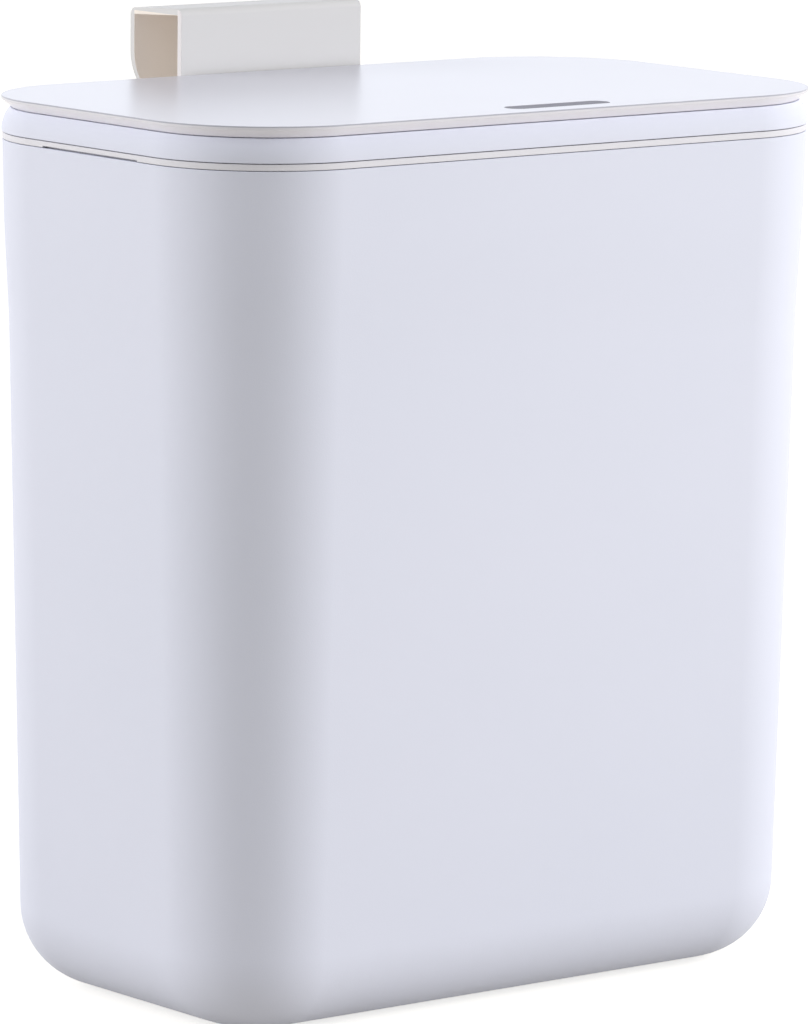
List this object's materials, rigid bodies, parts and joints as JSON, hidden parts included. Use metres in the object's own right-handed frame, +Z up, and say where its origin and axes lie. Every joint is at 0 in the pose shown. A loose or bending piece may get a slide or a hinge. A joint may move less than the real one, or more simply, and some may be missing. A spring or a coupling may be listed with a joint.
{
  "type": "door-hung kitchen waste bin",
  "caption": "Slim kitchen waste bin that hangs on a cabinet door, with a tapered bucket, bag ring, top frame and push-button flap lid.",
  "frame": {"origin": "middle of the flat base, on the surface the bin stands on", "axes": "+Z up, X along the long side, the front faces -Y and the door hook is on +Y"},
  "size_m": [0.25, 0.1779, 0.3038],
  "materials": {
    "bucket_white": "satin moulded plastic",
    "frame_white": "satin moulded plastic",
    "lid_white": "smooth satin-gloss plastic",
    "ring_natural": "plain moulded plastic",
    "hook_ivory": "satin moulded plastic",
    "button_grey": "satin moulded plastic",
    "rubber_grey": "soft rubber",
    "steel": "plated steel"
  },
  "bodies": {
    "bucket": {"bucket": "bucket_white", "hook_socket": "hook_ivory", "socket_screws": "steel", "door_pads": "rubber_grey"},
    "hook": {"hook_bracket": "hook_ivory"},
    "bag_ring": {"bag_ring": "ring_natural"},
    "top_frame": {"top_frame": "frame_white", "hinge_pins": "steel", "lid_spring_left": "steel", "lid_spring_right": "steel"},
    "lid": {"lid_plate": "lid_white", "lid_tray": "frame_white", "tray_screws": "steel", "lid_bumpers": "rubber_grey", "latch_spring": "steel", "latch_cover": "frame_white", "cover_screws": "steel"},
    "button": {"button_cap": "button_grey", "button_plunger": "ring_natural"},
    "latch": {"latch_slider": "ring_natural"}
  },
  "joints": [
    {"name": "hook_slide", "type": "slide", "parent": "bucket", "child": "hook", "axis": [0, 0, -1], "range_m": [0, 0.06]},
    {"name": "ring_lift", "type": "slide", "parent": "bucket", "child": "bag_ring", "axis": [0, 0, 1], "range_m": [0, 0.03]},
    {"name": "frame_lift", "type": "slide", "parent": "bag_ring", "child": "top_frame", "axis": [0, 0, 1], "range_m": [0, 0.03]},
    {"name": "lid_hinge", "type": "hinge", "parent": "top_frame", "child": "lid", "pos_m": [0, 0.0694, 0.2792], "axis": [-1, 0, 0], "range_deg": [0, 80], "deforming": ["lid_spring_left", "lid_spring_right"]},
    {"name": "button_press", "type": "slide", "parent": "lid", "child": "button", "axis": [0, 0, -1], "range_m": [0, 0.0022]},
    {"name": "latch_slide", "type": "slide", "parent": "lid", "child": "latch", "axis": [0, 1, 0], "range_m": [0, 0.0022], "stiffness_N_per_m": 400, "springref_m": -0.004, "deforming": ["latch_spring"]}
  ],
  "couplings": [
    {"joint": "latch_slide", "follows": "button_press", "ratio": 1}
  ]
}
